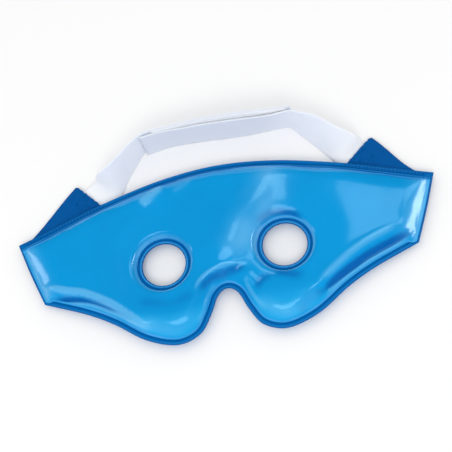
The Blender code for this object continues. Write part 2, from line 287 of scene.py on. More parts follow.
def grid_points(outline):
    """Triangular grid of points over the middle of the mask."""
    low, high = outline.min(0), outline.max(0)
    ys = np.arange(low[1], high[1], GRID_STEP * ROW_HEIGHT)
    gx, gy = np.meshgrid(np.arange(low[0], high[0], GRID_STEP), ys)
    gx = gx + GRID_STEP / 2 * (np.arange(len(ys)) % 2)[:, None]
    grid = np.stack([gx.ravel(), gy.ravel()], 1)
    grid = grid[inside_loop(grid, outline)]
    distance = np.minimum(path_distance(grid, outline, True)[0], eye_distance(grid))
    return grid[distance > RINGS[-1] + GRID_GAP * GRID_STEP]


def mask_triangles():
    """Points and triangles of the film seen from above, without the eye holes, and its outline."""
    outline = mask_outline(OUTLINE_STEP)
    points, edges = [], []
    for k, loop in enumerate(mask_loops(outline)):
        start = len(points)
        points += [tuple(p) for p in loop]
        if k % len(RINGS) == 0:
            edges += [(start + i, start + (i + 1) % len(loop)) for i in range(len(loop))]
    points += [tuple(p) for p in grid_points(outline)]
    coords, _, faces, *_ = delaunay_2d_cdt([Vector(p) for p in points], edges, [], 0, MERGE)
    xy = np.array([tuple(c) for c in coords])
    tris = np.array([tuple(f) for f in faces if len(f) == 3])
    middle = xy[tris].mean(1)
    keep = inside_loop(middle, outline)
    for centre in EYES:
        keep &= norm(middle - centre, axis=1) > EYE_R * EYE_TOLERANCE
    tris = tris[keep]
    used = np.unique(tris)
    remap = np.full(len(xy), -1)
    remap[used] = np.arange(len(used))
    return xy[used], remap[tris], outline


def seam_height(xy):
    """Height of the plane where the two films meet: it comes down towards the ends."""
    t = (np.abs(xy[:, 0]) - SEAM_DROP_FROM) / (SEAM_DROP_TO - SEAM_DROP_FROM)
    return SEAM_Z - SEAM_DROP * smooth(t)


def over_tab_fade(xy):
    """1 where the gel hangs down freely, 0 where the back film lies over a tab."""
    a, b = np.array(TAB_LINE_A), np.array(TAB_LINE_B)
    normal = np.array([a[1] - b[1], b[0] - a[0]])
    normal /= norm(normal)
    inside = -(np.stack([np.abs(xy[:, 0]), xy[:, 1]], 1) - a) @ normal
    return smooth(inside / TAB_FADE)


def dome(distance, run, power):
    """Rises from 0 at the weld to 1 over the run, steeply at first."""
    t = np.clip((distance - DOME_START) / run, 0.0, 1.0)
    return 1.0 - (1.0 - t) ** power


# Creases and swells of the front film: (path, half width, height), in millimetres. The hollows
# get painted shade, the gel being thin there too; the swells but the last get painted light.
# The last swell is a broad one.
HOLLOWS = (
    ([(101.0, 14.5), (95.2, 13.4), (83.9, 9.1), (72.3, 4.3), (64.5, 0.2), (56.7, -4.3),
      (48.6, -9.9), (40.0, -17.0)], 1.5, 1.5),
    ([(-98.0, 9.6), (-81.6, 7.1), (-69.4, 3.0), (-56.4, -4.6), (-44.0, -13.0)], 1.4, 1.2),
    ([(-15.0, -3.6), (-12.2, 1.4), (-8.4, 4.8), (-4.0, 6.6), (1.9, 7.8), (8.2, 8.4),
      (14.6, 8.6)], 2.2, 0.85),
    ([(17.5, 28.9), (20.5, 31.8), (25.7, 34.8), (31.0, 35.3), (37.0, 33.5), (41.5, 30.5),
      (43.5, 27.5)], 1.7, 0.9),
    ([(-49.0, 2.0), (-43.0, -1.0), (-36.0, -4.0), (-27.7, -6.0), (-18.0, -1.5),
      (-14.0, 3.0)], 3.2, 0.45),
    ([(12.5, -9.5), (15.0, -4.5), (19.0, 0.6), (26.0, 2.8), (36.0, 0.0), (43.0, 2.0)], 1.9, 0.7),
    ([(34.0, -21.0), (38.0, -15.5), (42.0, -11.6), (48.5, -9.4)], 1.6, 0.7),
)
SWELLS = (
    ([(100.0, 13.0), (96.1, 11.7), (84.8, 7.0), (73.3, 2.2), (65.6, -1.8), (57.9, -6.1),
      (49.8, -11.6), (42.2, -16.8)], 0.8, 0.9),
    ([(96.0, 18.5), (84.0, 15.6), (73.0, 11.2), (64.0, 6.4), (56.0, 1.0), (48.0, -4.6),
      (40.0, -9.5)], 1.8, 0.8),
    ([(-104.0, 17.0), (-92.0, 14.8), (-84.2, 12.0), (-73.5, 8.4), (-60.4, 0.8), (-51.9, -6.1),
      (-43.8, -12.7), (-34.0, -18.5)], 1.4, 1.4),
    ([(-98.0, 8.4), (-75.0, 3.6), (-60.7, -3.6), (-47.9, -11.4), (-36.0, -19.4)], 0.8, 0.9),
    ([(-18.0, -4.0), (-15.0, 2.0), (-11.4, 6.4), (-5.7, 9.3), (3.2, 10.8), (13.6, 11.0)], 1.1, 0.8),
    ([(-1.0, 4.2), (-6.2, 1.6), (-9.9, -4.2), (-13.4, -12.3), (-19.6, -18.8)], 1.4, 0.6),
    ([(8.0, 10.0), (12.8, 10.8), (16.4, 8.6), (18.8, 5.0), (23.0, 3.0), (29.0, 3.6)], 1.3, 0.6),
    ([(14.0, 7.0), (10.6, 2.4), (11.6, -3.6), (15.8, -11.5), (21.0, -17.0)], 1.2, 0.7),
    ([(17.0, -13.0), (26.0, -18.0), (34.0, -17.0), (42.0, -12.0)], 1.8, 0.4),
    ([(-27.0, 62.5), (-35.0, 57.0), (-43.0, 52.0)], 2.3, 1.0),
    ([(-10.0, 64.0), (-17.0, 59.5), (-25.0, 55.5)], 1.9, 0.55),
    ([(25.0, 70.0), (23.0, 56.0), (18.0, 43.0), (9.0, 31.0), (1.0, 20.0), (-2.0, 8.0)], 8.5, 2.4),
)
# Painted highlights standing in for reflections, pale and mottled: (path, half width, strength).
PAINTED_HIGHLIGHT_PATHS = (
    ([(31.0, 70.0), (30.5, 56.0), (27.0, 47.0), (22.0, 38.5), (15.5, 29.0), (9.0, 21.0),
      (1.0, 11.0)], 5.2, 1.0),
    ([(-47.0, -10.0), (-40.0, -15.0), (-30.0, -18.5), (-20.0, -15.0), (-15.0, -8.0)], 2.6, 0.55),
    ([(14.0, -6.0), (19.0, -13.0), (28.0, -18.5), (38.0, -16.5), (48.0, -9.0)], 2.4, 0.55),
    ([(112.0, 52.0), (108.6, 42.0), (104.6, 31.0), (100.4, 20.0), (96.5, 9.0),
      (93.0, 2.0)], 4.4, 1.2),
    ([(-112.0, 50.0), (-107.6, 40.0), (-104.4, 31.0), (-100.6, 21.0), (-96.5, 10.0),
      (-93.0, 2.0)], 3.4, 1.2),
)


def folds(xy, features):
    """Sum of rounded folds that fade out at both ends of their paths."""
    total = np.zeros(len(xy))
    for path, half_width, height in features:
        curve = spline(path, 1.0)
        distance, where = path_distance(xy, curve)
        ends = smooth(np.minimum(where, 1.0 - where) / FOLD_ENDS)
        total += height * np.exp(-0.5 * (distance / half_width) ** 2) * ends
    return total


def mask_heights(xy, outer, eye, edge):
    """Heights of the front film and of the back film."""
    seam = seam_height(xy)
    arch = ARCH_DROP * (np.abs(xy[:, 0]) / END_EDGE[0][0]) ** ARCH_POWER
    fuller = LOW_AT_EYES + (1.0 - LOW_AT_EYES) * smooth((eye - EYE_CLEAR) / EYE_REACH)
    rise = np.minimum(dome(outer, FRONT_RUN, FRONT_POWER), fuller * dome(eye, EYE_RUN, FRONT_POWER))
    flange = np.interp(edge, *zip(*FLANGE_PROFILE))
    front = seam + flange + (FRONT_RISE - arch) * rise
    back = seam - flange
    hang = dome(np.minimum(outer, eye), BACK_RUN, BACK_POWER)
    back = back + (BACK_REST - back) * hang * over_tab_fade(xy)
    return front, back


# Painted shade near the forehead edge, and painted light on the lobes below the nose.
TOP_SHADE, TOP_SHADE_FROM, TOP_SHADE_RUN = 0.95, 4.0, 3.6
LOBE_LIGHT, LOBE_LIGHT_BELOW, LOBE_LIGHT_RUN = 0.55, -2.0, 12.0
SWELL_LIGHT = 0.4  # how much painted light a full swell gets
HOLLOW_FULL_SHADE = 1.25  # a hollow of this height gets the full painted shade; its gel is pressed away
INSIDE_WELD = 2.9  # the film is free further from the edges than this
GEL_SHADING_RUN = 1.2


def top_distance(xy):
    """Distance from points to the forehead edge."""
    return path_distance(xy, spline(across_middle(TOP_EDGE), OUTLINE_STEP))[0]


def painted_gel_shading(xy, hollow, swell, distance, top):
    """Painted light and shade on the gel: -1 darkest, 0 on the dome, 1 lightest.

    Painted shade in the hollows, where the gel is thin too, and near the forehead edge; painted
    light on the lobes beside the nose and on the swells.
    """
    shade_near_top = TOP_SHADE * (1.0 - smooth((top - TOP_SHADE_FROM) / TOP_SHADE_RUN))
    lobes = LOBE_LIGHT * smooth((LOBE_LIGHT_BELOW - xy[:, 1]) / LOBE_LIGHT_RUN)
    painted_light = lobes + np.clip(swell, 0.0, 1.0) * SWELL_LIGHT
    free = smooth((distance - INSIDE_WELD) / GEL_SHADING_RUN)
    return np.clip(painted_light - shade_near_top - hollow / HOLLOW_FULL_SHADE, -1.0, 1.0) * free


WELDED = 3.2  # film nearer an edge than this is held by the weld
PUFF_CAP = 1.4  # no point moves further than this
PUFF_AT_EYES = 0.3  # the film is held taut round the eye holes
PUFF_CLEAR, PUFF_REACH = 3.0, 14.0
PUFF_EVEN = 8  # rounds of averaging
PUFF_FRAMES = 20
SLACK = 0.004  # the film is this much larger than its frame, so it puckers
FILM_CLOTH = {
    "quality": 6, "mass": 0.2, "bending_stiffness": 0.4, "shrink_min": -SLACK, "shrink_max": -SLACK,
    "tension_stiffness": 12.0, "compression_stiffness": 12.0, "shear_stiffness": 12.0,
    "vertex_group_mass": "weld", "pin_stiffness": 1.0,
    "use_pressure": True, "uniform_pressure_force": 4.0}


def even_out(values, tris, rounds):
    """Values averaged with their neighbours, so that only the larger puckers stay."""
    pairs = np.vstack([tris[:, [0, 1]], tris[:, [1, 2]], tris[:, [2, 0]]])
    pairs = np.vstack([pairs, pairs[:, ::-1]])
    count = np.bincount(pairs[:, 0], minlength=len(values))
    for _ in range(rounds):
        total = np.bincount(pairs[:, 0], weights=values[pairs[:, 1]], minlength=len(values))
        values = 0.5 * (values + total / count)
    return values


def puff_up(xy, front, tris, distance):
    """Height of the front film once cloth simulation has let the gel push it out between welds."""
    obj = new_mesh("film_in_simulation", world(np.column_stack([xy, front])), tris.tolist())
    weld = obj.vertex_groups.new(name="weld")
    weld.add(np.flatnonzero(distance < WELDED).tolist(), 1.0, "REPLACE")
    cloth = obj.modifiers.new("Cloth", "CLOTH")
    for key, value in FILM_CLOTH.items():
        setattr(cloth.settings, key, value)
    cloth.settings.effector_weights.gravity = 0.0
    cloth.point_cache.frame_start = 1
    cloth.point_cache.frame_end = PUFF_FRAMES
    for number in range(1, PUFF_FRAMES + 1):
        bpy.context.scene.frame_set(number)
    shape = obj.evaluated_get(bpy.context.evaluated_depsgraph_get()).to_mesh()
    z = np.array([v.co.z for v in shape.vertices]) / MM
    obj.to_mesh_clear()
    bpy.context.scene.frame_set(1)
    bpy.data.objects.remove(obj, do_unlink=True)
    return front + even_out(PUFF_CAP * np.tanh((z - front) / PUFF_CAP), tris, PUFF_EVEN)


CUT_EDGE = 0.02  # points nearer the edge than this are shared by both films
RELIEF_RUN = 1.6
RIDGE_HIGH, RIDGE_RUN = 1.2, 0.8
PAINTED_HIGHLIGHT_FROM, PAINTED_HIGHLIGHT_RUN = 3.5, 1.5


def build_mask():
    """The padded mask: front and back film as one closed mesh, with what its material needs."""
    xy, tris, outline = mask_triangles()
    outer, where = path_distance(xy, outline, True)
    eye, top = eye_distance(xy), top_distance(xy)
    distance = np.minimum(outer, eye)
    edge = weld_distance(xy, distance)
    front, back = mask_heights(xy, outer, eye, edge)
    taut = PUFF_AT_EYES + (1.0 - PUFF_AT_EYES) * smooth((eye - PUFF_CLEAR) / PUFF_REACH)
    front = front + (puff_up(xy, front, tris, distance) - front) * taut
    hollow, swell = folds(xy, HOLLOWS), folds(xy, SWELLS[:-1])
    relief = swell + folds(xy, SWELLS[-1:]) - hollow
    front = front + relief * smooth((distance - INSIDE_WELD) / RELIEF_RUN)
    depth = painted_gel_shading(xy, hollow, swell, distance, top)
    rim = distance < CUT_EDGE
    back_slot = np.cumsum(~rim) - 1 + len(xy)
    back_slot[rim] = np.arange(len(xy))[rim]
    verts = np.vstack([np.column_stack([xy, front]), np.column_stack([xy, back])[~rim]])
    faces = tris.tolist() + back_slot[tris[:, ::-1]].tolist()
    obj = new_mesh("gel_pillow", world(verts), faces)
    along = where * float(norm(outline - np.roll(outline, -1, axis=0), axis=1).sum())
    under = tab_under(xy)
    flat = np.zeros(len(xy))
    # Painted highlights: on the swells, and pale painted reflections along given paths.
    ridge_highlight = np.clip(swell, 0.0, RIDGE_HIGH) * smooth((distance - INSIDE_WELD) / RIDGE_RUN)
    painted_highlight = folds(xy, PAINTED_HIGHLIGHT_PATHS) * smooth((edge - PAINTED_HIGHLIGHT_FROM) / PAINTED_HIGHLIGHT_RUN)
    for attribute, on_front, on_back in (
            ("edge_mm", edge, edge), ("eye_mm", eye, eye), ("top_mm", top, top),
            ("along_mm", along, along), ("painted_gel_shading", depth, flat), ("ridge_highlight", ridge_highlight, flat),
            ("painted_highlight", painted_highlight, flat), ("over_tab", under, under)):
        point_attribute(obj, attribute, np.concatenate([on_front, on_back[~rim]]))
    return obj


TAB_SHADE_OUT, TAB_SHADE_RUN = 0.4, 0.8


def tab_under(xy):
    """1 where a tab lies behind the film, 0 elsewhere."""
    result = np.zeros(len(xy))
    for _, side, tip, angle, *_ in TABS:
        along, across = tab_axes(side, angle)
        offset = xy - np.array(tip)
        u, v = offset @ across, offset @ along
        inside = smooth((u + TAB_SHADE_OUT) / TAB_SHADE_RUN)
        inside *= smooth((TAB_W + TAB_SHADE_OUT - u) / TAB_SHADE_RUN)
        inside *= smooth(0.5 - v)
        result = np.maximum(result, inside * (xy[:, 0] * side > 0))
    return result


# ---- ribbons
EDGE_POWER, EDGE_THINNING = 16, 0.7
SELVEDGE_AT, SELVEDGE_WIDE = 0.05, 0.03  # shares of the width


def ribbon_profile(thickness, across, selvedge):
    """Half thickness across a band: rounded edges, and a slightly thicker selvedge beside them."""
    t = np.linspace(0.0, 1.0, across)
    inset = 0.5 - np.abs(t - 0.5)
    half = thickness / 2 * np.clip(1.0 - np.abs(2 * t - 1) ** EDGE_POWER * EDGE_THINNING, 0.0, 1.0)
    return t, half + selvedge * np.exp(-((inset - SELVEDGE_AT) / SELVEDGE_WIDE) ** 2)


def edge_normals(low, high):
    """Unit normals of a band at its edge point pairs."""
    tangent = np.gradient((low + high) / 2, axis=0)
    normal = np.cross(tangent, high - low)
    return normal / norm(normal, axis=1)[:, None]


def ribbon(name, low, high, thickness, across, selvedge=0.0):
    """Closed band through edge point pairs, with a UV map in millimetres; and its length."""
    steps = norm(np.diff((low + high) / 2, axis=0), axis=1)
    along = np.concatenate([[0.0], np.cumsum(steps)])
    normal = edge_normals(low, high)
    t, half = ribbon_profile(thickness, across, selvedge)
    profile = list(zip(t, half)) + list(zip(t[::-1], -half[::-1]))
    width = norm(high - low, axis=1)
    n = len(profile)
    verts, uv = [], []
    for i in range(len(low)):
        for u, h in profile:
            verts.append(low[i] + (high[i] - low[i]) * u + normal[i] * h)
            uv.append((u * width[i], along[i]))
    faces = sleeve(len(low), n)
    for base, flip in ((0, False), ((len(low) - 1) * n, True)):
        for j in range(across - 1):
            quad = (base + j, base + n - 1 - j, base + n - 2 - j, base + j + 1)
            faces.append(tuple(reversed(quad)) if flip else quad)
    obj = new_mesh(name, world(np.array(verts)), faces)
    layer = obj.data.uv_layers.new(name="cloth_mm")
    for loop in obj.data.loops:
        layer.data[loop.index].uv = uv[loop.vertex_index]
    face_outwards(obj)
    return obj, along[-1]


def face_outwards(obj):
    bm = bmesh.new()
    bm.from_mesh(obj.data)
    bmesh.ops.recalc_face_normals(bm, faces=bm.faces)
    bm.to_mesh(obj.data)
    bm.free()


def tab_axes(side, angle):
    """Directions along a tab, towards its free end, and across it from its outer edge."""
    a = math.radians(angle)
    along = np.array([-side * math.cos(a), math.sin(a)])
    across = np.array([-side * math.sin(a), -math.cos(a)])
    return along, across


def meet_end(start, along, side, inset):
    """Where a line from start, running back along the tab, meets the inset end edge."""
    top, bottom = np.array(END_EDGE[0]), np.array(END_EDGE[-1])
    inward = -np.array([top[1] - bottom[1], bottom[0] - top[0]])
    inward /= norm(inward)
    point = top + inward * inset
    point[0] *= side
    inward[0] *= side
    return start - along * ((start - point) @ inward) / (along @ inward)


TAB_ROOT_EDGE = 0.6  # the root starts this far inside the end edge of the mask
TAB_STATIONS, TAB_ACROSS = 70, 27
WAIST_POWER = 0.66  # brings the waist nearer to the root


def build_tab(prefix, side, tip, angle, waist, root_in):
    """Cloth tab from its welded root to its free end."""
    along, across = tab_axes(side, angle)
    far_a = np.array(tip)
    far_b = far_a + across * TAB_W
    near_a = meet_end(far_a, along, side, TAB_ROOT_EDGE)
    near_b = meet_end(far_b, along, side, TAB_ROOT_EDGE)
    s = np.linspace(0.0, 1.0, TAB_STATIONS)
    curve_in = waist * np.sin(math.pi * s ** WAIST_POWER) ** 2 + root_in * (1.0 - s) ** 2
    outer = near_a + (far_a - near_a) * s[:, None] + across * curve_in[:, None]
    inner = near_b + (far_b - near_b) * s[:, None]
    z = np.full(TAB_STATIONS, TAB_Z + TAB_T / 2)
    low, high = np.column_stack([inner, z]), np.column_stack([outer, z])
    obj, length = ribbon(prefix + "_tab_cloth", low, high, TAB_T, TAB_ACROSS)
    fray_end(obj, along, far_a, far_b)
    return obj, length


FRAY, FRAY_REACH = 0.12, 3.0  # how far the cut end wanders, and how deep it is felt
# Size, turn in radians per mm, phase.
FRAY_WAVES = ((1.0, 2.1, 0.0), (0.7, 4.7, 1.0), (0.5, 9.1, 2.0))
CORNER_CUT, CORNER_WIDE = 0.5, 1.6


def fray_end(obj, along, corner_a, corner_b):
    """Makes the cut end of a tab slightly uneven, with softly rounded corners."""
    middle = (corner_a + corner_b) / 2
    across = (corner_b - corner_a) / TAB_W
    direction = np.array([along[0], along[1], 0.0])
    for vertex in obj.data.vertices:
        p = np.array(vertex.co) / MM + np.array([0.0, ORIGIN_Y, 0.0])
        u = (p[:2] - middle) @ across
        reach = smooth(1.0 + (p[:2] - middle) @ along / FRAY_REACH)
        wander = FRAY * sum(size * math.sin(turn * u + phase) for size, turn, phase in FRAY_WAVES)
        corner = CORNER_CUT * max(0.0, abs(u) - TAB_W / 2 + CORNER_WIDE)
        vertex.co = world(p + direction * reach * (wander - corner))


def lapped_start(side, tip, angle):
    """Strap stations at its hidden end under the tab and at the tab's cut end."""
    along, across = tab_axes(side, angle)
    edge = np.array(tip) + across * (STRAP_ON_TAB + STRAP_W / 2)
    hidden = edge - along * STRAP_LAP
    heading = math.degrees(math.atan2(-across[1], -across[0])) % 360.0
    return (*hidden, heading, 0.0, 0.0), (*edge, heading, 0.0, 0.0)


STRAP_STEP, STRAP_ACROSS = 1.2, 25


def strap_edges(keys):
    """Edge pairs through key stations (x, y, heading, tilt, lift) of the lower edge."""
    curve = spline(keys, STRAP_STEP)
    heading, tilt = np.radians(curve[:, 2]), np.radians(np.maximum(curve[:, 3], 0.0))
    z = STRAP_T / 2 * np.abs(np.cos(tilt)) + np.maximum(curve[:, 4], 0.0)
    low = np.column_stack([curve[:, 0], curve[:, 1], z])
    flat = np.cos(tilt)
    rise = np.column_stack([np.cos(heading) * flat, np.sin(heading) * flat, np.sin(tilt)])
    return low, low + rise * STRAP_W


LEFT_STRAP_KEYS = [
    (-54.8, 62.2, 133.0, 14.0, 0.0), (-51.5, 68.4, 146.0, 50.0, 0.0),
    (-49.2, 73.9, 149.0, 69.0, 0.0), (-46.0, 79.0, 148.0, 77.0, 0.0),
    (-42.8, 83.6, 140.0, 82.0, 0.2), (-39.4, 87.6, 118.0, 87.0, 0.6),
    (-35.0, 90.4, 100.0, 89.0, 1.2), (-28.0, 91.3, 90.0, 90.0, 2.0),
    (-3.0, 91.4, 90.0, 89.0, 3.2), (19.0, 90.2, 90.0, 89.0, 3.9),
    (34.0, 90.1, 90.0, 90.0, 2.3), (45.5, 90.8, 90.0, 91.0, 0.5)]
RIGHT_STRAP_KEYS = [
    (64.0, 61.4, 42.0, 26.0, 0.0), (59.6, 67.3, 39.0, 49.0, 0.0),
    (54.4, 74.1, 38.0, 57.0, 0.0), (50.6, 78.9, 39.0, 64.0, 0.0),
    (47.2, 83.2, 42.0, 76.0, 0.0), (44.2, 87.0, 56.0, 86.0, 0.0),
    (40.8, 88.6, 82.0, 92.0, 0.0), (36.0, 88.7, 90.0, 94.0, 0.0),
    (29.0, 88.3, 90.0, 92.0, 0.0), (15.0, 88.2, 90.0, 88.0, 0.0),
    (-3.0, 89.3, 90.0, 88.5, 0.0), (-15.0, 89.9, 90.0, 90.5, 0.0),
    (-25.0, 89.7, 90.0, 89.0, 0.0), (-37.0, 87.6, 90.0, 86.0, 0.0)]
SELVEDGE = 0.07


def build_straps():
    """Each strap half with its length and its edge point pairs, the left one first."""
    straps = []
    for (prefix, side, tip, angle, *_), keys in zip(TABS, (LEFT_STRAP_KEYS, RIGHT_STRAP_KEYS)):
        low, high = strap_edges([*lapped_start(side, tip, angle), *keys])
        obj, length = ribbon(prefix + "_strap_band", low, high, STRAP_T, STRAP_ACROSS, SELVEDGE)
        straps.append((obj, length, (low, high)))
    return straps


# ---- hook and loop
# Centre line of a hook and of a loop: (reach, height) above the woven base.
HOOK_SHAPE = ((0.0, 0.0), (0.0, 0.35), (0.08, 0.55), (0.26, 0.62), (0.42, 0.50))
LOOP_SHAPE = ((0.0, 0.0), (0.08, 0.35), (0.32, 0.52), (0.6, 0.42), (0.72, 0.0))
HOOK_PITCH, HOOK_HALF = 1.5, 0.09
LOOP_PITCH, LOOP_HALF = 1.15, 0.06
PATCH_BASE, PATCH_ACROSS = 0.35, 9
GOLDEN = 0.618034  # spreads the directions of the filaments
STRAIGHT_RUN_Y = 85.0  # beyond it the straps run across behind the mask


def patch_frame(low, high, x_range, facing):
    """Stations of a patch on one face of an upright strap, and its outward normals."""
    middle = (low + high) / 2
    keep = (middle[:, 0] >= x_range[0]) & (middle[:, 0] <= x_range[1])
    keep &= middle[:, 1] > STRAIGHT_RUN_Y
    low, high = low[keep], high[keep]
    normal = edge_normals(low, high)
    normal *= np.sign(normal[:, 1] * facing)[:, None]
    rise = (high - low) / STRAP_W
    inset = (STRAP_W - PATCH_W) / 2
    return low + rise * inset, high - rise * inset, normal


def bristles(stations, shape, pitch, half_width):
    """Points and faces of small bent filaments that stand in rows on a patch."""
    low, high, normal = stations
    rise = (high - low) / PATCH_W
    tangent = np.gradient((low + high) / 2, axis=0)
    tangent /= norm(tangent, axis=1)[:, None]
    start = normal * (STRAP_T / 2 + PATCH_BASE)
    step = norm(np.diff((low + high) / 2, axis=0), axis=1).mean()
    verts, faces = [], []
    columns = int(len(low) * step / pitch) - 1
    rows = int(PATCH_W / pitch) - 1
    for i in range(columns):
        k = min(int(round((i + 1) * pitch / step)), len(low) - 1)
        for j in range(rows):
            turn = 2 * math.pi * ((i * 7 + j * 3) * GOLDEN % 1.0)
            lean = math.cos(turn) * tangent[k] + math.sin(turn) * rise[k]
            side = np.cross(lean, normal[k])
            offset = (j + 1.0 + 0.5 * (i % 2)) * pitch * PATCH_W / (PATCH_W + pitch * 0.5)
            root = low[k] + rise[k] * offset + start[k]
            base = len(verts)
            for reach, height in shape:
                centre = root + lean * reach + normal[k] * height
                for a, b in ((-1, -1), (1, -1), (1, 1), (-1, 1)):
                    verts.append(centre + side * a * half_width + lean * b * half_width)
            faces += sleeve(len(shape), 4, base)
            last = base + 4 * (len(shape) - 1)
            faces += [(base + 3, base + 2, base + 1, base), (last, last + 1, last + 2, last + 3)]
    return verts, faces


def build_patch(name, stations, shape, pitch, half_width):
    """Woven base with its hooks or loops, joined into one piece."""
    low, high, normal = stations
    offset = normal * (STRAP_T / 2 + PATCH_BASE / 2)
    base, length = ribbon(name, low + offset, high + offset, PATCH_BASE, PATCH_ACROSS)
    verts, faces = bristles(stations, shape, pitch, half_width)
    pile = new_mesh(name + "_pile", world(np.array(verts)), faces, False)
    face_outwards(pile)
    bm = bmesh.new()
    bm.from_mesh(base.data)
    bm.from_mesh(pile.data)
    bm.to_mesh(base.data)
    bm.free()
    bpy.data.objects.remove(pile, do_unlink=True)
    return base, length


# ---- stitching
STITCH_LENGTH, STITCH_PITCH, STITCH_R = 1.7, 2.35, 0.17
STITCH_LIFT = 0.06  # height of a stitch's middle line over the tab
STITCH_SIDES = 8
# Sections of a stitch: place along it, size and lift as shares of the thread's radius.
STITCH_SECTIONS = (
    (0.0, 0.45, -0.9), (0.12, 0.85, -0.2), (0.35, 1.0, 0.15), (0.65, 1.0, 0.15),
    (0.88, 0.85, -0.2), (1.0, 0.45, -0.9))


def stitch(start, end):
    """A thread lying from start to end, dipping into the cloth at both ends."""
    axis = end - start
    side = np.cross(axis, (0.0, 0.0, 1.0))
    side /= norm(side)
    verts, n = [], STITCH_SIDES
    for t, size, lift in STITCH_SECTIONS:
        centre = start + axis * t + np.array([0.0, 0.0, lift * STITCH_R])
        for k in range(n):
            a = 2 * math.pi * k / n
            out = side * math.cos(a) + np.array([0.0, 0.0, math.sin(a)])
            verts.append(centre + out * STITCH_R * size)
    last = len(verts) - n
    caps = [tuple(range(n)), tuple(reversed(range(last, last + n)))]
    return verts, sleeve(len(STITCH_SECTIONS), n) + caps


def build_stitches(prefix, side, tip, angle):
    """Box stitch with a cross through it, over the strap end that lies under the tab."""
    along, across = tab_axes(side, angle)
    centre = np.array(tip) + across * STRAP_ON_TAB - along * (STRAP_LAP / 2)
    half_a, half_b = STITCH_BOX[0] / 2, STITCH_BOX[1] / 2
    corners = [centre + across * half_a * i + along * half_b * j
               for i, j in ((-1, -1), (1, -1), (1, 1), (-1, 1))]
    verts, faces = [], []
    for a, b in ((0, 1), (1, 2), (2, 3), (3, 0), (0, 2), (1, 3)):
        run = corners[b] - corners[a]
        count = max(2, round(norm(run) / STITCH_PITCH))
        half = run / norm(run) * STITCH_LENGTH / 2
        for i in range(count):
            middle = corners[a] + run * (i + 0.5) / count
            ends = [np.array([*(middle + half * k), TAB_Z + TAB_T + STITCH_LIFT]) for k in (-1, 1)]
            more_verts, more_faces = stitch(*ends)
            faces += [tuple(v + len(verts) for v in face) for face in more_faces]
            verts += more_verts
    obj = new_mesh(prefix + "_tab_stitches", world(np.array(verts)), faces)
    face_outwards(obj)
    return obj


# ---- materials
class Graph:
    """A node material and short ways to add nodes to it."""

    def __init__(self, name, color):
        self.color = color
        self.mat = bpy.data.materials.new(name)
        self.mat.use_nodes = True
        self.nodes, self.links = self.mat.node_tree.nodes, self.mat.node_tree.links
        self.shader = self.nodes["Principled BSDF"]

    def wire(self, socket, value):
        """Links an output to the socket, or gives the socket a plain value."""
        if hasattr(value, "is_output"):
            self.links.new(value, socket)
        elif value is not None:
            socket.default_value = value

    def add(self, kind, *values, **settings):
        """New node; values go to its inputs in order, and None leaves one as it is."""
        node = self.nodes.new("ShaderNode" + kind)
        for key, setting in settings.items():
            setattr(node, key, setting)
        for socket, value in zip(node.inputs, values):
            self.wire(socket, value)
        return node

    def math(self, operation, *values):
        return self.add("Math", *values, operation=operation).outputs[0]

    def times(self, *values):
        product = values[0]
        for value in values[1:]:
            product = self.math("MULTIPLY", product, value)
        return product

    def wave(self, value, pitch):
        return self.math("SINE", self.times(value, 2 * math.pi / pitch))

    def attribute(self, name):
        return self.add("Attribute", attribute_name=name).outputs["Fac"]

    def uv_mm(self):
        uv = self.add("UVMap", uv_map="cloth_mm").outputs[0]
        return self.add("SeparateXYZ", uv).outputs[:2]

    def noise(self, scale, detail=2.0, roughness=0.5):
        place = self.add("TexCoord").outputs["Object"]
        return self.add("TexNoise", place, None, scale, detail, roughness).outputs[0]

    def span(self, value, low, high, to_low=0.0, to_high=1.0):
        """Eases from to_low to to_high as the value goes from low to high."""
        levels = (low, high, to_low, to_high)
        return self.add("MapRange", value, *levels, interpolation_type="SMOOTHSTEP").outputs[0]

    def band(self, value, rise, fall):
        """1 between the rise and the fall of the value, 0 outside them."""
        return self.times(self.span(value, *rise), self.span(value, *fall, 1.0, 0.0))

    def paint(self, strength, color):
        """Lays a colour over what is there."""
        node = self.add("Mix", data_type="RGBA")
        self.wire(node.inputs["Factor"], strength)
        for index, value in ((6, self.color), (7, color)):
            self.wire(node.inputs[index], (*value, 1.0) if isinstance(value, tuple) else value)
        self.color = node.outputs[2]

    def bump(self, height, depth, normal=None):
        """Normal disturbed by the height, with the depth in millimetres."""
        node = self.add("Bump")
        node.inputs["Distance"].default_value = depth * MM
        self.wire(node.inputs["Height"], height)
        self.wire(node.inputs["Normal"], normal)
        return node.outputs[0]

    def finish(self, normal=None, **values):
        self.wire(self.shader.inputs["Base Color"], self.color)
        self.wire(self.shader.inputs["Normal"], normal)
        for key, value in values.items():
            self.wire(self.shader.inputs[key.replace("_", " ")], value)
        return self.mat


DOME_BLUE, DOME_BLUE_2 = (0.0, 0.295, 0.68), (0.0, 0.315, 0.72)
# The next two: painted light and painted shade over the gel.
GEL_LIGHT_BLUE = (0.012, 0.41, 0.82)
GEL_SHADE_BLUE = (0.0, 0.125, 0.45)
FLANGE_BLUE = (0.0, 0.135, 0.43)
# Pale colours of painted highlights: fold lines, cut edge rims, ridges and reflections.
CREASE_HIGHLIGHT_BLUE = (0.055, 0.37, 0.80)
RIM_HIGHLIGHT_BLUE = (0.04, 0.31, 0.68)
PALE_HIGHLIGHT_BLUE = (0.14, 0.50, 0.85)
DASH_BLUE = (0.02, 0.20, 0.52)
WELD_BLUE = (0.0, 0.085, 0.32)
SHADED_BLUE = (0.0, 0.075, 0.30)
DASH_PITCH, DASH_ROWS, KNURL_PITCH = 1.9, 0.9, 0.9


